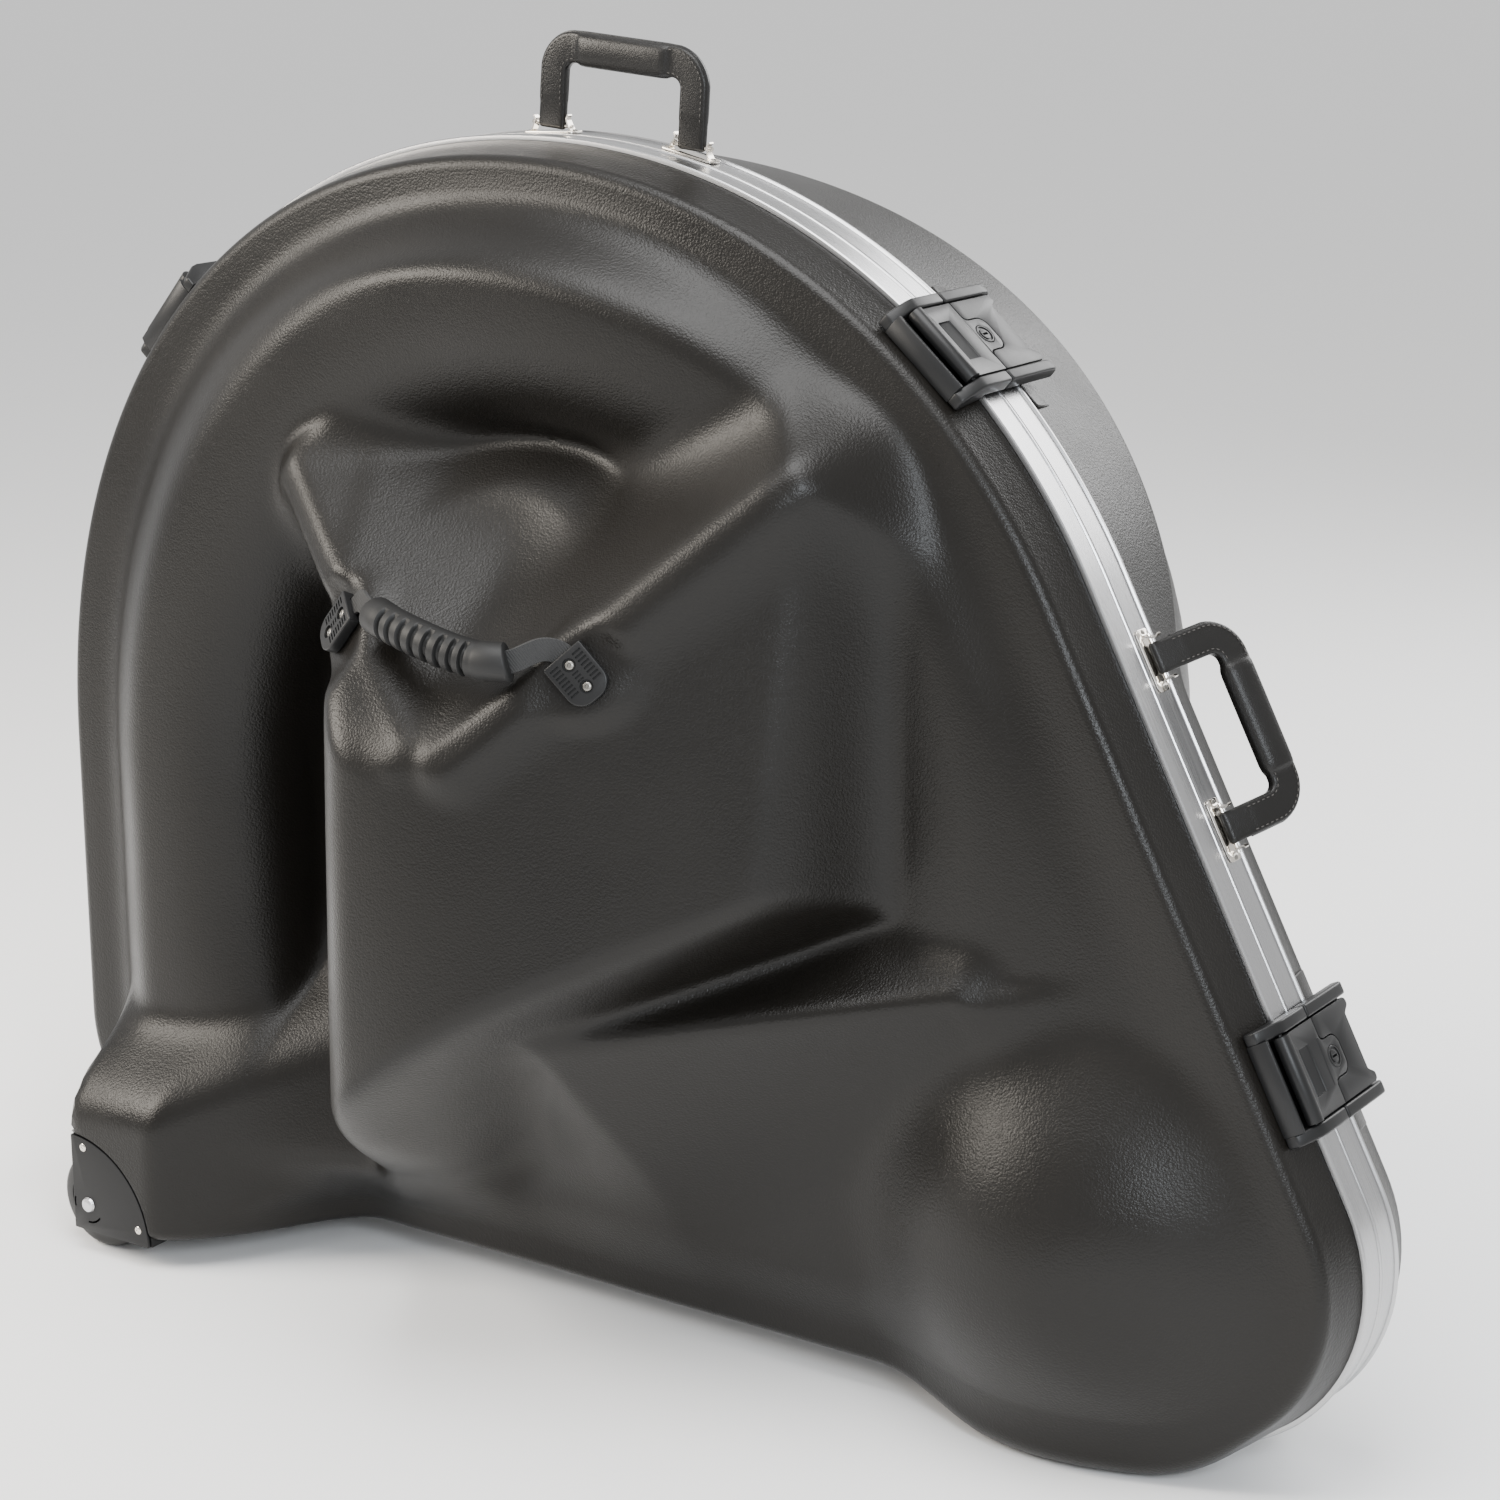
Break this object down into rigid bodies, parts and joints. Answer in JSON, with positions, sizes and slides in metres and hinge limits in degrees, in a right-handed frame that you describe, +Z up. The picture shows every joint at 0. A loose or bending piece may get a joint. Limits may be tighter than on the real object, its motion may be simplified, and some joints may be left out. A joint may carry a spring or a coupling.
{
  "type": "sousaphone case",
  "caption": "Deep-drawn hard case for a sousaphone, with a hinged lid, latched aluminium seam, carry handles, a flex pull handle and corner wheels",
  "frame": {"origin": "on the ground under the middle of the whole case as it stands on its wheels and pads", "axes": "X to the right along the case's length, Y from the lid towards the back half, Z up"},
  "size_m": [1.1218, 0.4874, 0.9345],
  "materials": {
    "grained_abs": "leather grain, satin",
    "moulded_black": "fine texture",
    "brushed_aluminium": "brushed along its length",
    "nickel": "polished nickel plate",
    "steel": "satin",
    "stitched_leatherette": "grained, stitched along the edges",
    "grip_rubber": "matt",
    "wheel_tread": "smooth urethane",
    "plush_foam": "short plush"
  },
  "bodies": {
    "back_half": {"back_shell": "grained_abs", "back_valance": "brushed_aluminium", "back_rim_pad": "plush_foam", "foam_cradle_a": "plush_foam", "foam_cradle_b": "plush_foam", "foam_cradle_c": "plush_foam", "back_wheel_cover": "moulded_black", "back_wheel_housing": "moulded_black", "back_axle": "steel", "back_hinge_leaf": "steel", "hinge_pin": "steel", "top_bracket_a": "nickel", "top_bracket_b": "nickel", "side_bracket_a": "nickel", "side_bracket_b": "nickel", "top_handle_pin_a": "nickel", "top_handle_pin_b": "nickel", "side_handle_pin_a": "nickel", "side_handle_pin_b": "nickel", "upper_right_latch_back_guard": "moulded_black", "lower_right_latch_back_guard": "moulded_black", "upper_left_latch_back_guard": "moulded_black"},
    "lid": {"front_shell": "grained_abs", "front_valance": "brushed_aluminium", "front_rim_pad": "plush_foam", "front_wheel_cover": "moulded_black", "front_wheel_housing": "moulded_black", "front_axle": "steel", "front_hinge_leaf": "steel", "flex_cap_left": "moulded_black", "flex_cap_right": "moulded_black", "flex_grip": "grip_rubber", "flex_webbing": "plush_foam", "upper_right_latch_front_guard": "moulded_black", "upper_right_latch_pin": "steel", "lower_right_latch_front_guard": "moulded_black", "lower_right_latch_pin": "steel", "upper_left_latch_front_guard": "moulded_black", "upper_left_latch_pin": "steel"},
    "front_wheel": {"front_tyre": "wheel_tread", "front_hub": "moulded_black"},
    "back_wheel": {"back_tyre": "wheel_tread", "back_hub": "moulded_black"},
    "top_handle_body": {"top_handle": "stitched_leatherette"},
    "side_handle_body": {"side_handle": "stitched_leatherette"},
    "upper_right_lever": {"upper_right_latch_lever": "moulded_black"},
    "upper_right_trigger": {"upper_right_latch_trigger": "moulded_black"},
    "upper_right_lock": {"upper_right_latch_key_lock": "steel"},
    "lower_right_lever": {"lower_right_latch_lever": "moulded_black"},
    "lower_right_trigger": {"lower_right_latch_trigger": "moulded_black"},
    "lower_right_lock": {"lower_right_latch_key_lock": "steel"},
    "upper_left_lever": {"upper_left_latch_lever": "moulded_black"},
    "upper_left_trigger": {"upper_left_latch_trigger": "moulded_black"},
    "upper_left_lock": {"upper_left_latch_key_lock": "steel"}
  },
  "joints": [
    {"name": "lid_hinge", "type": "hinge", "parent": "back_half", "child": "lid", "pos_m": [0.02265, 0.04577, 0.011], "axis": [1, 0, 0], "range_deg": [0, 95]},
    {"name": "upper_right_lever_pivot", "type": "hinge", "parent": "lid", "child": "upper_right_lever", "pos_m": [0.23582, 0.00927, 0.74624], "axis": [0.7513, 0, -0.66], "range_deg": [0, 95]},
    {"name": "upper_right_trigger_pivot", "type": "hinge", "parent": "upper_right_lever", "child": "upper_right_trigger", "pos_m": [0.2378, 0.05807, 0.74849], "axis": [0.7513, 0, -0.66], "range_deg": [0, 15], "stiffness_Nm_per_rad": 0.15, "springref_deg": -11.46},
    {"name": "upper_right_key_turn", "type": "hinge", "parent": "upper_right_lever", "child": "upper_right_lock", "pos_m": [0.2378, 0.05977, 0.74849], "axis": [0.66, 0, 0.7513], "range_deg": [0, 90]},
    {"name": "lower_right_lever_pivot", "type": "hinge", "parent": "lid", "child": "lower_right_lever", "pos_m": [0.50972, 0.00927, 0.29407], "axis": [0.4617, 0, -0.887], "range_deg": [0, 95]},
    {"name": "lower_right_trigger_pivot", "type": "hinge", "parent": "lower_right_lever", "child": "lower_right_trigger", "pos_m": [0.51238, 0.05807, 0.29546], "axis": [0.4617, 0, -0.887], "range_deg": [0, 15], "stiffness_Nm_per_rad": 0.15, "springref_deg": -11.46},
    {"name": "lower_right_key_turn", "type": "hinge", "parent": "lower_right_lever", "child": "lower_right_lock", "pos_m": [0.51238, 0.05977, 0.29546], "axis": [0.887, 0, 0.4617], "range_deg": [0, 90]},
    {"name": "upper_left_lever_pivot", "type": "hinge", "parent": "lid", "child": "upper_left_lever", "pos_m": [-0.44936, 0.00927, 0.72009], "axis": [0.6538, 0, 0.7566], "range_deg": [0, 95]},
    {"name": "upper_left_trigger_pivot", "type": "hinge", "parent": "upper_left_lever", "child": "upper_left_trigger", "pos_m": [-0.45163, 0.05807, 0.72205], "axis": [0.6538, 0, 0.7566], "range_deg": [0, 15], "stiffness_Nm_per_rad": 0.15, "springref_deg": -11.46},
    {"name": "upper_left_key_turn", "type": "hinge", "parent": "upper_left_lever", "child": "upper_left_lock", "pos_m": [-0.45163, 0.05977, 0.72205], "axis": [-0.7566, 0, 0.6538], "range_deg": [0, 90]},
    {"name": "top_handle_swing", "type": "hinge", "parent": "back_half", "child": "top_handle_body", "pos_m": [-0.0582, 0.05777, 0.86438], "axis": [0.9969, 0, -0.0785], "range_deg": [-70, 70]},
    {"name": "side_handle_swing", "type": "hinge", "parent": "back_half", "child": "side_handle_body", "pos_m": [0.40281, 0.05777, 0.49208], "axis": [0.4617, 0, -0.887], "range_deg": [-10, 135]},
    {"name": "front_wheel_spin", "type": "hinge", "parent": "lid", "child": "front_wheel", "pos_m": [-0.42935, -0.12623, 0.04], "axis": [0, 1, 0], "continuous": true},
    {"name": "back_wheel_spin", "type": "hinge", "parent": "back_half", "child": "back_wheel", "pos_m": [-0.42935, 0.21777, 0.04], "axis": [0, 1, 0], "continuous": true}
  ]
}
